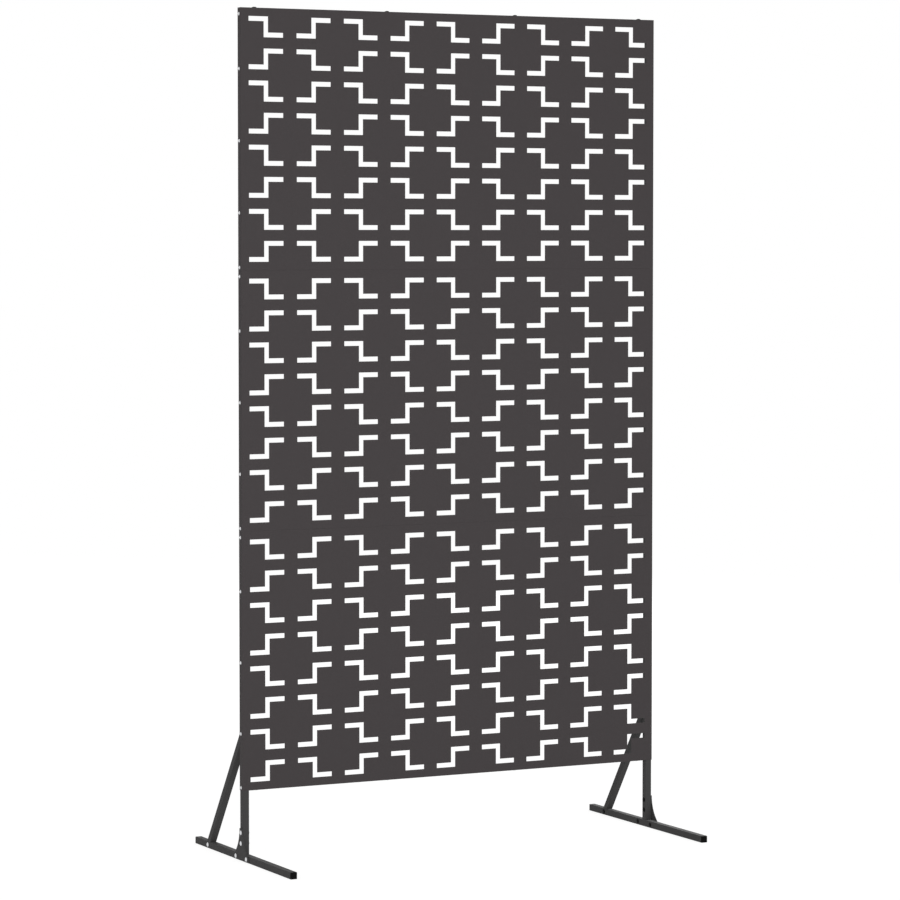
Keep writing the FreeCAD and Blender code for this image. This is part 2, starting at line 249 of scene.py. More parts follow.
def plate(outer: Array, inner: Array, solid: Array) -> Surface:
    """A closed plate between two grids of points.

    Each solid cell has a face on both grids. A wall stands wherever a solid cell meets a gap or the rim.

    Args:
        outer: Points of the outer face by row and column, anticlockwise seen from outside.
        inner: Points of the inner face, laid out alike.
        solid: Which cells between the grid's lines are solid.

    Returns:
        The plate, whose faces point outwards.
    """
    number = np.arange(outer.shape[0] * outer.shape[1]).reshape(outer.shape[:2])
    back = number.size
    corners = grid_cells(number)
    faces = [corners[solid], corners[solid][:, ::-1] + back]
    padded = np.pad(solid, 1)
    neighbours = (padded[:-2, 1:-1], padded[1:-1, 2:], padded[2:, 1:-1], padded[1:-1, :-2])
    for edge, neighbour in enumerate(neighbours):
        rim = np.roll(corners[solid & ~neighbour], -edge, axis=1)
        start, end = rim[:, 0], rim[:, 1]
        faces.append(np.stack([end, start, start + back, end + back], axis=-1))
    points = np.concatenate([outer.reshape(-1, 3), inner.reshape(-1, 3)])
    return Surface(points, faces).welded()


def circle(sides: int) -> Array:
    """Points of the unit circle, anticlockwise from +X, one row of X and Y each."""
    turns = np.arange(sides) * math.tau / sides
    return np.stack([np.cos(turns), np.sin(turns)], axis=-1)


def rounded_squares(halves: Array, radii: Array, steps: int = 6, support: float = 0.3 * MM) -> Array:
    """Points anticlockwise round squares with quarter-circle corners.

    Each corner is an arc about a centre one radius inside both sides. A support point lies on the flat
    just before and after each arc, so that smooth shading bends only at the corners.

    Args:
        halves: Half the width of each square.
        radii: Corner radius of each square.
        steps: Steps in each arc.
        support: Distance of the support points from the arcs.

    Returns:
        X and Y by square and point.
    """
    quarter = np.linspace(0, math.pi / 2, steps + 1)
    arc = radii[:, None, None] * np.stack([np.cos(quarter), np.sin(quarter)], axis=-1)
    arc = np.concatenate([arc[:, :1] - [0, support], arc, arc[:, -1:] - [support, 0]], axis=1)
    corner = arc + (halves - radii)[:, None, None]
    cosines, sines = circle(4).T
    turns = np.stack([np.stack([cosines, sines], axis=-1), np.stack([-sines, cosines], axis=-1)], axis=-2)
    return (corner[:, None] @ turns).reshape(len(halves), -1, 2)


def rings_about_z(outlines: Array, radii: Array, heights: Array) -> Array:
    """Rings about Z: an outline times a radius, at a height for each ring.

    Args:
        outlines: X and Y by point, or by ring and point.
        radii: Radius by ring, or by ring and point.
        heights: Height by ring.

    Returns:
        Points by ring and column.
    """
    flat = radii.reshape(len(heights), -1, 1) * outlines
    return np.pad(flat, ((0, 0), (0, 0), (0, 1))) + heights[:, None, None] * Z_AXIS


def lathe(profile: Array, sides: int) -> Surface:
    """A closed solid of revolution about Z.

    Each profile point between the poles is swept round a full turn.

    Args:
        profile: Radius and height from the lower pole to the upper one, both with radius 0.
        sides: Points in each ring.

    Returns:
        The solid.
    """
    radii, heights = profile.T
    rings = rings_about_z(circle(sides), radii[1:-1], heights[1:-1])
    return skin(rings, first_pole=heights[0] * Z_AXIS, last_pole=heights[-1] * Z_AXIS)


def grey(level: float) -> tuple[float, float, float, float]:
    """An opaque grey, where level 0 is black and 1 is white."""
    return (level, level, level, 1.0)


class Graph:
    """Short calls that add and join the nodes of one tree."""

    def __init__(self, tree: bpy.types.NodeTree) -> None:
        """Starts from an emptied tree."""
        self.tree = tree
        tree.nodes.clear()

    @classmethod
    def of(cls, owner: bpy.types.Material | bpy.types.World) -> "Graph":
        """The emptied nodes of a material or world."""
        owner.use_nodes = True
        return cls(owner.node_tree)

    def add(self, kind: str, inputs: Inputs | None = None, **settings: object) -> bpy.types.Node:
        """Adds a node.

        Args:
            kind: The node's type.
            inputs: What its inputs take, by their name or number: a socket, number, vector or colour.
            **settings: Its properties.

        Returns:
            The node.
        """
        node = self.tree.nodes.new(kind)
        for name, value in settings.items():
            setattr(node, name, value)
        for key, value in (inputs or {}).items():
            if isinstance(value, Socket):
                self.tree.links.new(value, node.inputs[key])
            else:
                node.inputs[key].default_value = value
        return node

    def maths(self, operation: str, first: object, second: object) -> Socket:
        """The outcome of a Math node.

        Args:
            operation: What the node does.
            first: A socket or number.
            second: Another one.

        Returns:
            The node's output.
        """
        return self.add("ShaderNodeMath", {0: first, 1: second}, operation=operation).outputs[0]

    def spread(self, texture: Socket, width: object) -> Socket:
        """A texture's value less its middle, times a width."""
        return self.maths("MULTIPLY", self.maths("SUBTRACT", texture, TEXTURE_MIDDLE), width)

    def noise(self, vector: object, scale: object, detail: float) -> Socket:
        """The value of a noise texture.

        Args:
            vector: Where it is read.
            scale: One over the size of its features.
            detail: How many finer layers are added.

        Returns:
            The value, from 0 to 1.
        """
        inputs = {"Vector": vector, "Scale": scale, "Detail": detail}
        return self.add("ShaderNodeTexNoise", inputs).outputs["Fac"]

    def end(self, cast: Socket, shown: Socket, target: str) -> None:
        """Ends the tree with one shader for the light that it sends and another one to look at.

        The second is seen by the camera, in reflections and through glass.

        Args:
            cast: The shader that sends light.
            shown: The shader to look at.
            target: Type of the output node.
        """
        path = self.add("ShaderNodeLightPath").outputs
        both = self.maths("ADD", path["Is Camera Ray"], path["Is Glossy Ray"])
        seen = self.maths("ADD", both, path["Is Transmission Ray"])
        mix = self.add("ShaderNodeMixShader", {0: seen, 1: cast, 2: shown})
        self.add(target, {"Surface": mix.outputs["Shader"]})


def new_group(name: str, inputs: dict[str, str], outputs: dict[str, str]) -> bpy.types.NodeTree:
    """An empty shader group with named sockets.

    Args:
        name: The group's name.
        inputs: Kind of each input socket by its name.
        outputs: Kind of each output socket by its name.

    Returns:
        The group.
    """
    tree = bpy.data.node_groups.new(name, "ShaderNodeTree")
    for sockets, way in ((inputs, "INPUT"), (outputs, "OUTPUT")):
        for label, kind in sockets.items():
            tree.interface.new_socket(label, in_out=way, socket_type="NodeSocket" + kind)
    return tree


def coat_grain_group(speckle_ratio: float = 3.1) -> bpy.types.NodeTree:
    """The grain of a sprayed or moulded surface.

    Shade is one plus a spread of fine speckle and a spread of broad mottle. Roughness is a base plus a
    spread of mottle. Height is the mean of the skin's ripple and the speckle.

    Args:
        speckle_ratio: How much finer the speckle is than the ripple.

    Returns:
        The group.
    """
    scales = ("Grain Scale", "Mottle Scale")
    levels = ("Speckle Spread", "Mottle Spread", "Roughness", "Roughness Spread")
    inputs = {"Vector": "Vector", **{name: "Float" for name in scales + levels}}
    tree = new_group("coat_grain", inputs, {"Shade": "Float", "Roughness": "Float", "Height": "Float"})
    graph = Graph(tree)
    given = graph.add("NodeGroupInput").outputs
    ripple = graph.noise(given["Vector"], given["Grain Scale"], detail=2.0)
    fine = graph.maths("MULTIPLY", given["Grain Scale"], speckle_ratio)
    speckle = graph.noise(given["Vector"], fine, detail=1.0)
    mottle = graph.noise(given["Vector"], given["Mottle Scale"], detail=3.0)
    patches = graph.maths("ADD", graph.spread(mottle, given["Mottle Spread"]), 1.0)
    specks = graph.spread(speckle, given["Speckle Spread"])
    rough = graph.spread(mottle, given["Roughness Spread"])
    both = graph.maths("ADD", ripple, speckle)
    graph.add("NodeGroupOutput", {
        "Shade": graph.maths("ADD", patches, specks),
        "Roughness": graph.maths("ADD", rough, given["Roughness"]),
        "Height": graph.maths("DIVIDE", both, 2.0),
    })
    return tree


def plating_group() -> bpy.types.NodeTree:
    """The small crystals of plated metal: Shade is one plus a spread of each cell's own value.

    Returns:
        The group.
    """
    sockets = {"Vector": "Vector", "Crystal Scale": "Float", "Shade Spread": "Float"}
    tree = new_group("plating_crystals", sockets, {"Shade": "Float"})
    graph = Graph(tree)
    given = graph.add("NodeGroupInput").outputs
    inputs = {"Vector": given["Vector"], "Scale": given["Crystal Scale"]}
    cells = graph.add("ShaderNodeTexVoronoi", inputs)
    tone = graph.add("ShaderNodeSeparateColor", {"Color": cells.outputs["Color"]})
    shade = graph.spread(tone.outputs["Red"], given["Shade Spread"])
    graph.add("NodeGroupOutput", {"Shade": graph.maths("ADD", shade, 1.0)})
    return tree


@dataclass
class Groups:
    """The node groups that several finishes share."""

    coat_grain: bpy.types.NodeTree
    plating: bpy.types.NodeTree


@dataclass(frozen=True)
class Finish:
    """A surface finish whose grain comes from the shared groups.

    Attributes:
        name: The material's name.
        slot: The material slot that it stands for. Not used.
        colour: Base colour, linear.
        metallic: 0 for coats and plastics, 1 for bare plating.
        roughness: Middle roughness.
        specular: Specular level, where 0.5 is an ordinary coat.
        grain: Ripples of the skin per metre.
        mottle: Broad patches per metre.
        speckle_spread: How far speckle and crystals lighten and darken the colour, as a share.
        mottle_spread: How far the patches do.
        rough_spread: How far the patches change the roughness.
        ripple: Depth of the skin's ripple.
        crystals: Plated crystals per metre, or 0 for none.
    """

    name: str
    slot: Slot
    colour: Triple
    metallic: float
    roughness: float
    specular: float
    grain: float
    mottle: float
    speckle_spread: float
    mottle_spread: float
    rough_spread: float
    ripple: float
    crystals: float = 0.0

    def shades(self, graph: Graph, groups: Groups) -> tuple[Socket, Socket, Socket]:
        """Adds the groups that this finish uses.

        Args:
            graph: The material's nodes.
            groups: The shared node groups.

        Returns:
            Shade, roughness and height of the surface.
        """
        place = graph.add("ShaderNodeTexCoord").outputs["Object"]
        grain: Inputs = {
            "Vector": place,
            "Grain Scale": self.grain,
            "Mottle Scale": self.mottle,
            "Speckle Spread": self.speckle_spread,
            "Mottle Spread": self.mottle_spread,
            "Roughness": self.roughness,
            "Roughness Spread": self.rough_spread,
        }
        coat = graph.add("ShaderNodeGroup", grain, node_tree=groups.coat_grain).outputs
        shade = coat["Shade"]
        if self.crystals:
            crystals: Inputs = {
                "Vector": place,
                "Crystal Scale": self.crystals,
                "Shade Spread": self.speckle_spread,
            }
            plating = graph.add("ShaderNodeGroup", crystals, node_tree=groups.plating)
            shade = graph.maths("MULTIPLY", shade, plating.outputs["Shade"])
        return shade, coat["Roughness"], coat["Height"]

    def material(self, groups: Groups) -> bpy.types.Material:
        """The finish as a material.

        The colour is multiplied by the shade, and the grain's height bends the normals through a bump.

        Args:
            groups: The shared node groups.

        Returns:
            The new material.
        """
        material = bpy.data.materials.new(self.name)
        graph = Graph.of(material)
        shade, roughness, height = self.shades(graph, groups)
        colours = {"Factor": 1.0, "A": (*self.colour, 1.0), "B": shade}
        tint = graph.add("ShaderNodeMix", colours, data_type="RGBA", blend_type="MULTIPLY")
        bump = graph.add("ShaderNodeBump", {"Strength": 1.0, "Distance": self.ripple, "Height": height})
        shader = graph.add("ShaderNodeBsdfPrincipled", {
            "Base Color": tint.outputs["Result"],
            "Metallic": self.metallic,
            "Roughness": roughness,
            "Specular IOR Level": self.specular,
            "Normal": bump.outputs["Normal"],
        })
        graph.add("ShaderNodeOutputMaterial", {"Surface": shader.outputs["BSDF"]})
        return material


PANEL_COAT = Finish(
    name="panel_powder_coat",
    slot=Slot.STEEL,
    colour=(0.0557, 0.0494, 0.0509),
    metallic=0.0,
    roughness=0.60,
    specular=0.08,
    grain=450.0,
    mottle=9.0,
    speckle_spread=0.8,
    mottle_spread=0.05,
    rough_spread=0.08,
    ripple=0.2 * MM,
)
TUBE_COAT = replace(PANEL_COAT, name="tube_powder_coat", colour=(0.0535, 0.0525, 0.0525), mottle=14.0)
ZINC = Finish(
    name="bright_zinc",
    slot=Slot.ZINC,
    colour=(0.64, 0.645, 0.66),
    metallic=1.0,
    roughness=0.30,
    specular=0.5,
    grain=1500.0,
    mottle=220.0,
    speckle_spread=0.10,
    mottle_spread=0.10,
    rough_spread=0.14,
    ripple=0.004 * MM,
    crystals=1800.0,
)
NUT_BLACK = Finish(
    name="black_oxide",
    slot=Slot.NUTS,
    colour=(0.004, 0.004, 0.004),
    metallic=0.0,
    roughness=0.50,
    specular=0.06,
    grain=1800.0,
    mottle=160.0,
    speckle_spread=0.4,
    mottle_spread=0.25,
    rough_spread=0.12,
    ripple=0.02 * MM,
)
PLUG_BLACK = replace(
    NUT_BLACK,
    name="black_plug_plastic",
    slot=Slot.PLASTIC,
    roughness=0.55,
    specular=0.04,
    mottle=90.0,
)


class Workshop:
    """Turns surfaces into finished pieces of the object, and keeps a note of each.

    Attributes:
        smooth_limit: Edges that bend by more than this are shaded sharp.
        edge_limit: Edges that bend by more than this are broken where a piece has a bevel.
        edge_segments: Flats across a broken edge.
        materials: The material of each finish.
        notes: A line on each piece.
    """

    smooth_limit: float = math.radians(35)
    edge_limit: float = math.radians(40)
    edge_segments: int = 2

    def __init__(self) -> None:
        """Makes the shared groups and the materials."""
        groups = Groups(coat_grain_group(), plating_group())
        finishes = (PANEL_COAT, TUBE_COAT, ZINC, NUT_BLACK, PLUG_BLACK)
        self.materials = {finish: finish.material(groups) for finish in finishes}
        self.notes: list[str] = []

    def piece(self, node: str, form: str, surface: Surface, finish: Finish, bevel: float = 0.0) -> None:
        """A finished piece that stands for a node of the frame.

        Args:
            node: The node that it replaces, which its name starts with.
            form: What it is made as, which its name ends with.
            surface: Its shape, in the frame's own place.
            finish: Its finish.
            bevel: Width of the flat that breaks its sharp edges, or 0 for none.
        """
        name = f"{node}_{form}"
        mesh = bpy.data.meshes.new(name)
        faces = [face for rows in surface.faces for face in rows.tolist()]
        mesh.from_pydata(surface.points.tolist(), [], faces)
        mesh.shade_smooth()
        mesh.set_sharp_from_angle(angle=self.smooth_limit)
        mesh.materials.append(self.materials[finish])
        piece = placed(name, mesh)
        if bevel:
            edge = piece.modifiers.new("broken_edges", "BEVEL")
            edge.width = bevel
            edge.segments = self.edge_segments
            edge.limit_method = "ANGLE"
            edge.angle_limit = self.edge_limit
            edge.harden_normals = True
        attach(piece, BODY)
        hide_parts(node)
        self.notes.append(f"{name} stands for {node} with {len(faces)} faces")

    def dress(self, node: str, finish: Finish) -> None:
        """Gives a node of the frame that stays as it is a finish of its own.

        Args:
            node: The node's name.
            finish: Its finish.
        """
        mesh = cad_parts[node].data
        mesh.materials.clear()
        mesh.materials.append(self.materials[finish])
        self.notes.append(f"{node} keeps its shape")


@dataclass
class PanelSheet:
    """One panel: a flat blank with Z slots, whose four rims are folded back.

    Attributes:
        shop: Makes the pieces.
        sheet: Thickness of the sheet.
        notch: Length of the plain rim at each corner, where the post stands.
        blend: Length over which the plain rim runs into the fold beside it.
        columns: Slots across.
        rows: Slots up.
        slot_width: Width of a slot over both arms.
        slot_height: Height of a slot.
        stroke: Width of the cut.
        side_margin: From the panel's side to the first slot.
        end_margin: From the panel's upper or lower edge to the first slot.
        bevel: How far the coat rounds off folds and cut edges.
        z_cells: Which of a slot's three cells by three are cut, from the lowest row.
    """

    shop: Workshop
    sheet: float = 0.8 * MM
    notch: float = 17.3 * MM
    blend: float = 1.5 * MM
    columns: int = 9
    rows: int = 8
    slot_width: float = 87 * MM
    slot_height: float = 48 * MM
    stroke: float = 11 * MM
    side_margin: float = 20.5 * MM
    end_margin: float = 19.5 * MM
    bevel: float = 0.25 * MM
    z_cells: tuple[tuple[int, ...], ...] = ((0, 1, 1), (0, 1, 0), (1, 1, 0))

    @staticmethod
    def slot_lines(size: float, count: int, margin: float, reach: float, inner: float) -> Array:
        """The four lines of each slot along one direction.

        Slots are evenly spaced between the margins. Their lines lie half the slot's reach and half its
        inner width on either side of its middle.

        Args:
            size: The panel's size that way.
            count: Slots that way.
            margin: From the panel's edge to the first slot.
            reach: The slot's own size that way.
            inner: Distance between the slot's two inner lines.

        Returns:
            One row of four places per slot.
        """
        middles = np.linspace(margin + reach / 2, size - margin - reach / 2, count)
        return middles[:, None] + np.array([-reach, -inner, inner, reach]) / 2

    def folded(self, lines: Array, size: float, depth: float) -> tuple[Array, Array, Array, Array]:
        """Stations along one direction of the blank once its two rims are folded back.

        The first and last stations are the rims' free ends, and the ones next to them the folds. There the
        outer face lies on the panel's box and the inner face one sheet inside. The rest lie on the front.

        Args:
            lines: Places on the front, from the panel's near edge.
            size: The panel's size that way.
            depth: The panel's depth.

        Returns:
            Outer and inner places, then outer and inner depths behind the front.
        """
        outer = np.concatenate([[0, 0], np.sort(lines), [size, size]])
        inner = np.clip(outer, self.sheet, size - self.sheet)
        back = np.zeros(len(outer))
        back[[0, -1]] = depth
        return outer, inner, back, np.maximum(back, self.sheet)

    def surface(self, low: Array, high: Array) -> Surface:
        """The panel that fills a box.

        The blank is a grid of stations across and up. Each point takes its place from both, and the
        greater of their depths. In the notches the inner face runs up to the edge: no rim is folded there.

        Args:
            low: Lowest corner of the panel's box.
            high: Highest corner.

        Returns:
            The panel as a closed plate.
        """
        width, depth, height = high - low
        across = self.slot_lines(width, self.columns, self.side_margin, self.slot_width, self.stroke)
        inside = self.slot_height - 2 * self.stroke
        up = self.slot_lines(height, self.rows, self.end_margin, self.slot_height, inside)
        notches = np.array([self.notch - self.blend, self.notch])
        lines = np.concatenate([across.ravel(), notches, width - notches])
        x_out, x_in, back_x, deep_x = self.folded(lines, width, depth)
        z_out, z_in, back_z, deep_z = self.folded(up.ravel(), height, depth)
        plain = np.minimum(x_out, width - x_out) < self.notch - self.blend / 2
        z_inner = np.where(plain, z_out[:, None], z_in[:, None])
        outer = np.broadcast_arrays(x_out, np.maximum(back_x, back_z[:, None]), z_out[:, None])
        inner = np.broadcast_arrays(x_in, np.maximum(deep_x, deep_z[:, None]), z_inner)
        solid = self.solid_cells((x_out[1:] + x_out[:-1]) / 2, (z_out[1:] + z_out[:-1]) / 2, across, up)
        return plate(np.stack(outer, axis=-1) + low, np.stack(inner, axis=-1) + low, solid)

    def solid_cells(self, x: Array, z: Array, across: Array, up: Array) -> Array:
        """Which cells of the blank are metal.

        Each slot is three cells by three, of which a Z is cut, mirrored in every other slot as on a chess
        board. The upper and lower rims are gaps at the notches too.

        Args:
            x: Middles of the cells across, where the folded rims count as the panel's edge.
            z: Middles of the cells up, alike.
            across: Lines of the slots across, by column.
            up: Lines of the slots up, by row from the lowest.

        Returns:
            True for metal, by row up and column across.
        """
        from_side = np.minimum(x, x[-1] - x)
        from_end = np.minimum(z, z[-1] - z)[:, None]
        notched = (from_side < self.notch) & (from_end == 0)
        row, column = np.indices((self.rows, self.columns))
        upper_left = (self.rows - 1 - row + column) % 2 == 0
        shape = np.array(self.z_cells)
        shapes = np.where(upper_left[..., None, None], shape, shape[:, ::-1])
        in_row = (z[:, None, None] > up[:, :-1]) & (z[:, None, None] < up[:, 1:])
        in_column = (x[:, None, None] > across[:, :-1]) & (x[:, None, None] < across[:, 1:])
        cut = np.einsum("zri,rcij,xcj->zx", in_row.astype(int), shapes, in_column.astype(int)) > 0
        return ~(notched | cut)

    def build(self) -> None:
        """Makes the three panels from the boxes of their nodes."""
        for level in PANEL_LEVELS:
            node = f"{level}_panel"
            self.shop.piece(node, "sheet", self.surface(*node_box(node)), PANEL_COAT, self.bevel)


@dataclass
class TubeFrame:
    """The post, foot, brace, gusset and plugs of one side.

    Attributes:
        shop: Makes the pieces.
        side: Which end of the screen.
        wall: Thickness of the tube's wall.
        corner: Radius of the tube's corners.
        bore_corner: Radius of the bore's corners.
        plug_edge: Radius of the plugs' edges.
        plug_edge_steps: Steps round those edges.
        plug_crown: How far the plugs' faces swell.
        plug_fit: Gap between a plug's stem and the tube.
        gusset_tip: Height of the gusset's straight ends.
        gusset_steps: Steps along the gusset's hollow flanks.
        gusset_bevel: Width of the gusset's broken edges.
    """

    shop: Workshop
    side: Side
    wall: float = 1.2 * MM
    corner: float = 1.1 * MM
    bore_corner: float = 0.55 * MM
    plug_edge: float = 0.8 * MM
    plug_edge_steps: int = 5
    plug_crown: float = 0.25 * MM
    plug_fit: float = 0.1 * MM
    gusset_tip: float = 10 * MM
    gusset_steps: int = 20
    gusset_bevel: float = 0.3 * MM

    def name(self, piece: str) -> str:
        """The node's name of one of this side's pieces."""
        return f"{self.side.word}_{piece}"

    def box(self, piece: str) -> Array:
        """Lowest and highest corner of one of this side's nodes, one row each."""
        return node_box(self.name(piece))

    def face_x(self, piece: str, outer: bool) -> float:
        """X of the outer or inner face of one of this side's nodes."""
        low, high = self.box(piece)
        return high[0] if outer == (self.side is Side.RIGHT) else low[0]

    @property
    def tube(self) -> float:
        """Width of the square tube, from the foot."""
        low, high = self.box("foot")
        return high[2] - low[2]

    @property
    def brace_bolts(self) -> Array:
        """Where the brace's two bolts sit: one head's radius inside the box of both.

        Returns:
            Y and Z of the bolt in the foot, then of the one in the post.
        """
        low, high = self.box("brace_bolts")
        low, high = low + HEAD_RADIUS, high - HEAD_RADIUS
        return np.array([(high[1], low[2]), (low[1], high[2])])

    def tube_run(self, start: Array, end: Array, start_face: Array, end_face: Array) -> Surface:
        """A hollow square tube between two planes.

        Each point of the tube's outline slides along the axis until it meets the plane at either end: by
        its own offset along the plane's normal, over the share of the axis along that normal.

        Args:
            start: A point of the axis on the first plane.
            end: A point of the axis on the last plane.
            start_face: Normal of the first plane.
            end_face: Normal of the last plane.

        Returns:
            The tube, inner wall and cut ends included.
        """
        basis = basis_along(end - start)
        halves = self.tube / 2 - np.array([0, self.wall])
        radii = np.array([self.corner, self.bore_corner])
        outer, inner = rounded_squares(halves, radii) @ basis[:, :2].T

        def meet(outline: Array, place: Array, face: Array) -> Array:
            """Where lines along the axis through an outline meet a plane."""
            slide = -(outline @ face) / (basis[:, 2] @ face)
            return place + outline + slide[:, None] * basis[:, 2]

        rings = [meet(outer, start, start_face), meet(outer, end, end_face)]
        rings += [meet(inner, end, end_face), meet(inner, start, start_face)]
        return skin(np.stack(rings), loop=True)

    def straight_tube(self, piece: str, axis: Array) -> None:
        """A post section or foot along one axis of the frame, from its node's box.

        Args:
            piece: The node's name without its side.
            axis: Unit direction of the tube.
        """
        low, high = self.box(piece)
        half = (high - low) / 2 * axis
        middle = (low + high) / 2
        surface = self.tube_run(middle - half, middle + half, axis, axis)
        self.shop.piece(self.name(piece), "tube", surface, TUBE_COAT)

    def brace(self) -> None:
        """The sloping tube from bolt to bolt, cut off along the foot's top and the post's rear face."""
        low, high = self.box("foot")
        x = (low[0] + high[0]) / 2
        foot_top = high[2]
        post_rear = self.box("lower_post")[1, 1]
        foot_bolt, post_bolt = (np.array([x, *place]) for place in self.brace_bolts)
        rise = post_bolt - foot_bolt
        start = foot_bolt + rise * (foot_top - foot_bolt[2]) / rise[2]
        end = foot_bolt + rise * (post_rear - foot_bolt[1]) / rise[1]
        self.shop.piece(self.name("brace"), "tube", self.tube_run(start, end, Z_AXIS, Y_AXIS), TUBE_COAT)

    def gusset(self) -> None:
        """The plate outside foot and post, as wide as the post at its top.

        Its flanks are arcs that leave the post's edges upright at the top: at an angle from there, the arc
        lies outwards by its radius times one less the cosine, and down by its radius times the sine.
        """
        low, high = self.box("gusset")
        out = high[1] - self.tube / 2
        drop = high[2] - low[2] - self.gusset_tip
        radius = (out ** 2 + drop ** 2) / (2 * out)
        angle = np.linspace(math.asin(drop / radius), 0, self.gusset_steps + 1)
        heights = np.concatenate([[low[2]], high[2] - radius * np.sin(angle)])
        halves = np.concatenate([[high[1]], self.tube / 2 + radius * (1 - np.cos(angle))])
        y = halves[:, None] * np.array([-1, 1]) * self.side.value
        z = np.broadcast_to(heights[:, None], y.shape)
        faces = (self.face_x("gusset", outer) for outer in (True, False))
        outer, inner = (np.stack([np.full(y.shape, x), y, z], axis=-1) for x in faces)
        surface = plate(outer, inner, np.ones((len(heights) - 1, 1), bool))
        self.shop.piece(self.name("gusset"), "plate", surface, TUBE_COAT, self.gusset_bevel)

    def plug(self, piece: str, tube_piece: str, axis: Array) -> None:
        """A moulded plug: a stem in the bore under a head with round edges and a faint crown.

        Its rings are rounded squares. Round the head's edge they draw in by the edge's radius times one
        less the cosine of the turn, and rise by the radius times its sine.

        Args:
            piece: The node's name without its side.
            tube_piece: The tube that it closes.
            axis: Unit direction that the head looks to.
        """
        ends = np.sort(self.box(piece) @ axis)
        rim = (self.box(tube_piece) @ axis).max()
        head = ends[1] - rim
        half = self.tube / 2
        stem = half - self.wall - self.plug_fit
        turn = np.linspace(0, math.pi / 2, self.plug_edge_steps + 1)
        edge_half = half - self.plug_edge * (1 - np.cos(turn))
        edge_height = head - self.plug_crown - self.plug_edge * (1 - np.sin(turn))
        halves = np.concatenate([[stem, stem, half], edge_half])
        heights = np.concatenate([[ends[0] - rim, 0, 0], edge_height])
        squares = rounded_squares(halves, np.full(len(halves), self.corner))
        rings = rings_about_z(squares, np.ones(len(halves)), heights)
        surface = skin(rings, first_pole=heights[0] * Z_AXIS, last_pole=head * Z_AXIS)
        middle = np.mean(self.box(piece), axis=0)
        seat = middle + (rim - middle @ axis) * axis
        self.shop.piece(self.name(piece), "plug", surface.copies(seat[None], axis), PLUG_BLACK)

    def build(self) -> None:
        """Makes every piece of this side but its fasteners."""
        for section in ("lower_post", "middle_post", "upper_post"):
            self.straight_tube(section, Z_AXIS)
        self.straight_tube("foot", Y_AXIS)
        self.brace()
        self.gusset()
        self.plug("post_cap", "upper_post", Z_AXIS)
        self.plug("foot_front_cap", "foot", -Y_AXIS)
        self.plug("foot_rear_cap", "foot", Y_AXIS)
        for sleeve in ("lower_sleeve", "upper_sleeve"):
            self.shop.dress(self.name(sleeve), TUBE_COAT)


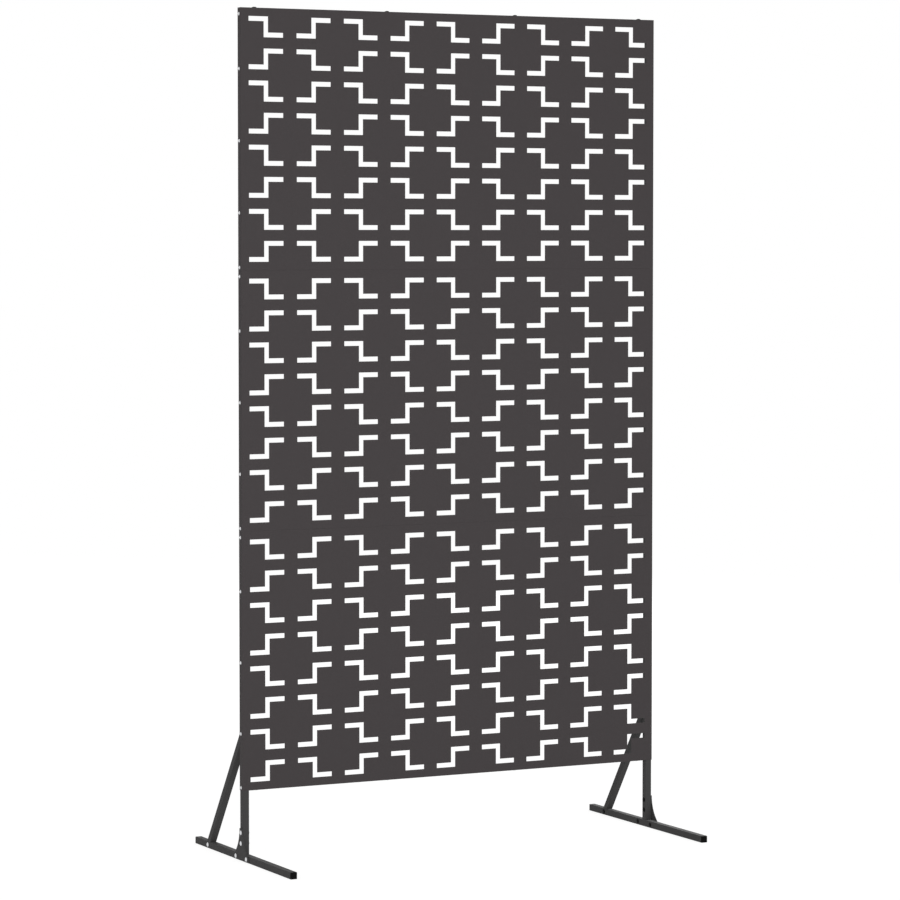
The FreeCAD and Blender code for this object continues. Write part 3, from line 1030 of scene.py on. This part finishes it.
@dataclass
class Fasteners:
    """Bolts, screws and nuts of the whole screen.

    Attributes:
        shop: Makes the pieces.
        screw_head: Radius of a head with a cross recess, smaller than a plain one.
        head_height: Height of a head.
        head_rim: Height of a head's upright rim.
        rim_break_share: Share of that height that is a broken edge at the seat.
        head_sides: Points round a plain head.
        head_rings: Rings from a plain head's rim to its top.
        shank: Radius of the shank.
        point: Length of the shank's tapered end.
        point_taper: How far the shank draws in over that length.
        recess_depth: Depth of a cross recess in its middle.
        recess_arm_shares: Half the width of the recess's arms, at floor and brim, over the head's radius.
        recess_reach_shares: Length of those arms, alike.
        crown_shares: Grid lines of a recessed head outside the recess, alike.
        nut_half: Half the width of a nut across its flats.
        nut_flats: Flats of a nut.
        nut_sides: Points round a nut.
        nut_chamfer: Height of a nut's chamfers.
        nut_cone_shares: Radii of a nut's body where cones cut its corners, from its seat up, over half
            its width.
        nut_crown: Height of a nut's domed end.
        nut_crown_shares: Radii of that end's rings, over half the nut's width.
        nut_end: Thickness of a nut's closed end.
        nut_fit: Gap between nut and shank.
        edge_margin: From the panel's side to the outer bolts of the upper and lower folds.
        edge_count: Bolts along each fold.
        side_top: From a panel's top to its highest side screw.
        side_bottom: From a panel's bottom to its lowest side screw.
        side_step: From the highest and lowest side screws to their neighbours.
        gusset_reach: From the post's middle to the gusset's bolts in the foot.
        gusset_first: From the foot's top to the gusset's lower bolt in the post.
        gusset_step: From there to the upper one.
    """

    shop: Workshop
    screw_head: float = 4 * MM
    head_height: float = 2.2 * MM
    head_rim: float = 0.35 * MM
    rim_break_share: float = 1 / 3
    head_sides: int = 40
    head_rings: int = 8
    shank: float = 2.5 * MM
    point: float = 0.4 * MM
    point_taper: float = 0.2 * MM
    recess_depth: float = 1.2 * MM
    recess_arm_shares: tuple[float, float] = (0.11, 0.14)
    recess_reach_shares: tuple[float, float] = (0.5, 0.54)
    crown_shares: Triple = (0.7, 0.86, 1.0)
    nut_half: float = 5 * MM
    nut_flats: int = 6
    nut_sides: int = 36
    nut_chamfer: float = 0.4 * MM
    nut_cone_shares: Triple = (1.04, 1.16, 1.16)
    nut_crown: float = 1.0 * MM
    nut_crown_shares: tuple[float, ...] = (0.98, 0.8, 0.55, 0.3)
    nut_end: float = 0.6 * MM
    nut_fit: float = 0.05 * MM
    edge_margin: float = 38.5 * MM
    edge_count: int = 4
    side_top: float = 14.5 * MM
    side_bottom: float = 6.5 * MM
    side_step: float = 126 * MM
    gusset_reach: float = 30 * MM
    gusset_first: float = 25 * MM
    gusset_step: float = 25 * MM

    def dome(self, distances: Array, head: float) -> Array:
        """Height of a head's crown: a sphere's cap that spans the rim and rises to the top.

        Args:
            distances: Distances from the head's middle.
            head: The head's radius.

        Returns:
            The height over the seat at each distance.
        """
        rise = self.head_height - self.head_rim
        sphere = (head ** 2 + rise ** 2) / (2 * rise)
        return self.head_height - sphere + np.sqrt(sphere ** 2 - distances ** 2)

    def shank_profile(self, length: float, head: float) -> Array:
        """The outline from the shank's end up to the head's rim, the seat being at height 0.

        Args:
            length: Length under the head.
            head: The head's radius.

        Returns:
            Rows of radius and height.
        """
        break_edge = self.head_rim * self.rim_break_share
        return np.array([
            (0, -length),
            (self.shank - self.point_taper, -length),
            (self.shank, -length + self.point),
            (self.shank, 0),
            (head - break_edge, 0),
            (head, break_edge),
            (head, self.head_rim),
        ])

    def plain_bolt(self, length: float) -> Surface:
        """A bolt with a plain domed head, turned about +Z with its seat at the origin.

        Args:
            length: Length under the head.

        Returns:
            The bolt.
        """
        radii = np.linspace(HEAD_RADIUS, 0, self.head_rings + 1)[1:]
        crown = np.stack([radii, self.dome(radii, HEAD_RADIUS)], axis=-1)
        return lathe(np.concatenate([self.shank_profile(length, HEAD_RADIUS), crown]), self.head_sides)

    def recessed_screw(self, length: float) -> Surface:
        """A screw whose domed head has a cross recess, along +Z with its seat at the origin.

        The crown is a square grid pressed into a disc: each coordinate is multiplied by the root of one
        less half the other's square. Points inside the cross sink, most of all in the middle. The grid's
        border is the ring that the rim and the shank start from.

        Args:
            length: Length under the head.

        Returns:
            The screw.
        """
        shares = np.array([*self.recess_arm_shares, *self.recess_reach_shares, *self.crown_shares])
        lines = np.concatenate([-shares[::-1], shares])
        b, a = np.meshgrid(lines, lines, indexing="ij")
        disc = np.stack([a * np.sqrt(1 - b ** 2 / 2), b * np.sqrt(1 - a ** 2 / 2)], axis=-1)
        long, short = np.maximum(abs(a), abs(b)), np.minimum(abs(a), abs(b))
        inside = (short < np.mean(self.recess_arm_shares)) & (long < np.mean(self.recess_reach_shares))
        distances = self.screw_head * np.minimum(np.linalg.norm(disc, axis=-1), 1)
        sunk = np.where(inside, self.recess_depth * (1 - long), 0)
        height = self.dome(distances, self.screw_head) - sunk
        number = np.arange(lines.size ** 2).reshape(lines.size, lines.size)
        points = np.concatenate([self.screw_head * disc, height[..., None]], axis=-1)
        crown = Surface(points.reshape(-1, 3), [grid_cells(number).reshape(-1, 4)])
        border = np.concatenate([number[0, :-1], number[:-1, -1], number[-1, :0:-1], number[:0:-1, 0]])
        radii, heights = self.shank_profile(length, self.screw_head).T
        rings = rings_about_z(disc.reshape(-1, 2)[border], radii[1:], heights[1:])
        return joined([crown, skin(rings, first_pole=heights[0] * Z_AXIS)]).welded()

    def bolt(self, length: float, drive: Drive) -> Surface:
        """A bolt or screw by what its head shows."""
        return self.recessed_screw(length) if drive is Drive.CROSS_RECESS else self.plain_bolt(length)

    def nut(self, height: float) -> Surface:
        """A six-sided nut with a domed, closed end, along +Z with its seat at the origin.

        A side's distance at a turn from its middle is half the width over the cosine of that turn. Cones
        cut the corners off at both ends. The crown falls with the square of the radius. The rings come
        down the bore, go up outside and close at the crown.

        Args:
            height: The nut's height.

        Returns:
            The nut.
        """
        outline = circle(self.nut_sides)
        flat = math.tau / self.nut_flats
        turn = np.arctan2(outline[:, 1], outline[:, 0])
        side = self.nut_half / np.cos((turn + flat / 2) % flat - flat / 2)
        crown_shares = np.array(self.nut_crown_shares)
        bore = np.full((2, self.nut_sides), self.shank + self.nut_fit)
        body = np.minimum(side, self.nut_half * np.array(self.nut_cone_shares)[:, None])
        crown = np.repeat(self.nut_half * crown_shares[:, None], self.nut_sides, axis=1)
        crown_heights = height - self.nut_crown * (crown_shares / crown_shares[0]) ** 2
        deep = height - self.nut_end
        upper = height - self.nut_crown - self.nut_chamfer
        heights = np.concatenate([[deep, 0, 0, self.nut_chamfer, upper], crown_heights])
        rings = rings_about_z(outline, np.concatenate([bore, body, crown]), heights)
        return skin(rings, first_pole=deep * Z_AXIS, last_pole=height * Z_AXIS)

    def set_of(self, node: str, surface: Surface, seats: Array, axis: Array) -> None:
        """Puts copies of a fastener on their seats and makes them one piece for a node.

        Args:
            node: The node that the set replaces.
            surface: One fastener along +Z.
            seats: One row of X, Y and Z per copy.
            axis: Unit direction that the fastener's +Z turns to.
        """
        finish = NUT_BLACK if node.endswith("nuts") else ZINC
        self.shop.piece(node, "set", surface.copies(seats, axis), finish)

    def side_heights(self) -> Array:
        """Heights of all the side screws, five to a panel: two near each end and one midway.

        Returns:
            The heights, panel by panel.
        """
        boxes = np.stack([node_box(f"{level}_panel") for level in PANEL_LEVELS])
        first = boxes[:, 0, 2] + self.side_bottom
        last = boxes[:, 1, 2] - self.side_top
        rows = (first, first + self.side_step, (first + last) / 2, last - self.side_step, last)
        return np.stack(rows, axis=1).ravel()

    def panel_screws(self, tubes: TubeFrame, fold: float) -> None:
        """The screws through the panels' side folds. The brace's upper bolt takes the place of one.

        Args:
            tubes: The side whose posts they hold.
            fold: X of the folds' outer face.
        """
        heights = self.side_heights()
        heights = heights[abs(heights - tubes.brace_bolts[1, 1]) > HEAD_RADIUS]
        low, high = tubes.box("panel_screws")
        screw = self.bolt(high[0] - low[0] - self.head_height, Drive.CROSS_RECESS)
        seats = np.stack([np.full(len(heights), fold), np.zeros(len(heights)), heights], axis=-1)
        self.set_of(tubes.name("panel_screws"), screw, seats, tubes.side.outward)

    def through_bolts(self, name: str, tubes: TubeFrame, seats: Array, drives: list[Drive]) -> None:
        """Bolts from outside through one side's tubes, and their nuts on the tubes' inner faces.

        Args:
            name: What they hold.
            tubes: The side that they go through.
            seats: Where the heads sit, one row of X, Y and Z per bolt.
            drives: What each head shows.
        """
        out = tubes.side.outward
        lengths = abs(seats[:, 0] - tubes.face_x(f"{name}_bolts", outer=False))
        bolts = [
            self.bolt(length, drive).copies(seat[None], out)
            for length, drive, seat in zip(lengths, drives, seats)
        ]
        self.shop.piece(tubes.name(f"{name}_bolts"), "set", joined(bolts), ZINC)
        low, high = tubes.box(f"{name}_nuts")
        inner = seats.copy()
        inner[:, 0] = tubes.face_x("foot", outer=False)
        self.set_of(tubes.name(f"{name}_nuts"), self.nut(high[0] - low[0]), inner, -out)

    def side_sets(self, tubes: TubeFrame) -> None:
        """The screws, bolts and nuts of one side.

        Args:
            tubes: The side whose tubes they hold.
        """
        fold = node_box("bottom_panel")[1 if tubes.side is Side.RIGHT else 0, 0]
        self.panel_screws(tubes, fold)
        low, high = tubes.box("foot")
        middle = (low[2] + high[2]) / 2
        first = high[2] + self.gusset_first
        plate_x = tubes.face_x("gusset", outer=True)
        gusset = np.array([
            (plate_x, -self.gusset_reach, middle),
            (plate_x, self.gusset_reach, middle),
            (plate_x, 0, first),
            (plate_x, 0, first + self.gusset_step),
        ])
        self.through_bolts("gusset", tubes, gusset, [Drive.PLAIN_DOME] * len(gusset))
        brace_x = np.array([tubes.face_x("foot", outer=True), fold])
        brace = np.column_stack([brace_x, tubes.brace_bolts])
        self.through_bolts("brace", tubes, brace, [Drive.PLAIN_DOME, Drive.CROSS_RECESS])

    def fold_sets(self) -> None:
        """The bolts and nuts along the folds, put in from below, at the heights of their nodes' boxes."""
        outer = node_box("bottom_panel")[1, 0] - self.edge_margin
        across = np.linspace(-outer, outer, self.edge_count)[:, None] * X_AXIS
        for row in ("bottom_edge", "lower_seam", "upper_seam", "top_edge"):
            head_end, point_end = node_box(f"{row}_bolts")[:, 2]
            nut_seat, nut_top = node_box(f"{row}_nuts")[:, 2]
            seat = head_end + self.head_height
            bolt = self.bolt(point_end - seat, Drive.PLAIN_DOME)
            self.set_of(f"{row}_bolts", bolt, across + seat * Z_AXIS, -Z_AXIS)
            self.set_of(f"{row}_nuts", self.nut(nut_top - nut_seat), across + nut_seat * Z_AXIS, Z_AXIS)


@dataclass
class Studio:
    """A white studio: pale floor, even light from all round, two soft lamps and the photograph's camera.

    Attributes:
        eye: Place of the camera.
        heading: Camera's turn to the right of +Y, in degrees.
        dip: Camera's tilt below the horizon, in degrees.
        film: Width of the camera's film in millimetres.
        lens: Focal length in millimetres.
        shift: How far the frame sits above the lens's axis, as a share of its width.
        sight: How far the camera sees, which is past the floor's corners.
        dome: Strength of the even light.
        floor_half: Half the floor's width.
        floor_bounce: How much light the floor sends back.
        floor_shadow: Share of the floor's seen brightness that shadows can take away.
        front_lamp: Place of the lamp in front of the screen.
        front_power: Its power in watts.
        rear_lamp: Place of the lamp behind the screen.
        rear_power: Its power in watts.
        lamp_size: Width of both lamps.
    """

    eye: Triple = (-3.9001, -7.6144, 1.4552)
    heading: float = 27.098
    dip: float = 2.845
    film: float = 36.0
    lens: float = 143.65
    shift: float = -0.04
    sight: float = 240.0
    dome: float = 0.62
    floor_half: float = 60.0
    floor_bounce: float = 0.9
    floor_shadow: float = 0.3
    front_lamp: Triple = (-0.9, -5.6, 1.1)
    front_power: float = 126.0
    rear_lamp: Triple = (4.4, 4.2, 2.6)
    rear_power: float = 110.0
    lamp_size: float = 3.0

    def world(self) -> None:
        """A world that is white to look at and lights the object evenly."""
        world = bpy.data.worlds.new("white_studio")
        graph = Graph.of(world)
        cast, shown = (
            graph.add("ShaderNodeBackground", {"Color": grey(WHITE), "Strength": strength})
            for strength in (self.dome, WHITE)
        )
        graph.end(cast.outputs["Background"], shown.outputs["Background"], "ShaderNodeOutputWorld")
        bpy.context.scene.world = world

    def floor(self) -> None:
        """A white floor that keeps the object's shadow.

        To look at, it is part lit surface and part its own light, which add up to white outside shadows.
        """
        corners = np.array([(-1, -1, 0), (1, -1, 0), (1, 1, 0), (-1, 1, 0)]) * self.floor_half
        mesh = bpy.data.meshes.new("studio_floor")
        mesh.from_pydata(corners.tolist(), [], [(0, 1, 2, 3)])
        material = bpy.data.materials.new("white_floor")
        graph = Graph.of(material)
        bounce = graph.add("ShaderNodeBsdfDiffuse", {"Color": grey(self.floor_bounce)})
        lit = graph.add("ShaderNodeBsdfDiffuse", {"Color": grey(self.floor_shadow)})
        glow = graph.add("ShaderNodeEmission", {"Strength": WHITE - self.floor_shadow * self.dome})
        white = graph.add("ShaderNodeAddShader", {0: lit.outputs["BSDF"], 1: glow.outputs["Emission"]})
        graph.end(bounce.outputs["BSDF"], white.outputs["Shader"], "ShaderNodeOutputMaterial")
        mesh.materials.append(material)
        placed("studio_floor", mesh)

    def soft_lamp(self, name: str, place: Triple, power: float) -> None:
        """One large soft lamp that looks at the middle of the object and reaches behind its panels.

        Args:
            name: The lamp's name.
            place: Where it stands.
            power: Its power in watts.
        """
        data = bpy.data.lights.new(name, "AREA")
        data.shape = "SQUARE"
        data.size = self.lamp_size
        data.energy = power
        data.use_shadow = False
        lamp = placed(name, data)
        lamp.location = place
        middle = (CAD_BOX[0] + CAD_BOX[1]) / 2
        lamp.rotation_euler = (middle - lamp.location).to_track_quat("-Z", "Y").to_euler()

    def camera(self) -> None:
        """The photograph's camera: a long lens, level from side to side, that looks slightly down."""
        data = bpy.data.cameras.new("photo_camera")
        data.sensor_width = self.film
        data.lens = self.lens
        data.shift_y = self.shift
        data.clip_end = self.sight
        camera = placed("photo_camera", data)
        camera.location = self.eye
        camera.rotation_euler = (math.radians(90 - self.dip), 0.0, -math.radians(self.heading))
        bpy.context.scene.camera = camera

    def build(self) -> None:
        """Sets the stage, the light and the camera."""
        bpy.context.scene.view_settings.view_transform = "Standard"
        self.world()
        self.floor()
        self.soft_lamp("front_lamp", self.front_lamp, self.front_power)
        self.soft_lamp("rear_lamp", self.rear_lamp, self.rear_power)
        self.camera()


def main() -> None:
    """Builds the screen piece by piece, then its studio, and reports each piece."""
    logging.basicConfig(level=logging.INFO, format="%(name)s: %(message)s")
    shop = Workshop()
    PanelSheet(shop).build()
    fasteners = Fasteners(shop)
    for side in Side:
        tubes = TubeFrame(shop, side)
        tubes.build()
        fasteners.side_sets(tubes)
    fasteners.fold_sets()
    Studio().build()
    for note in shop.notes:
        LOG.info(note)


if __name__ == "__main__":
    main()
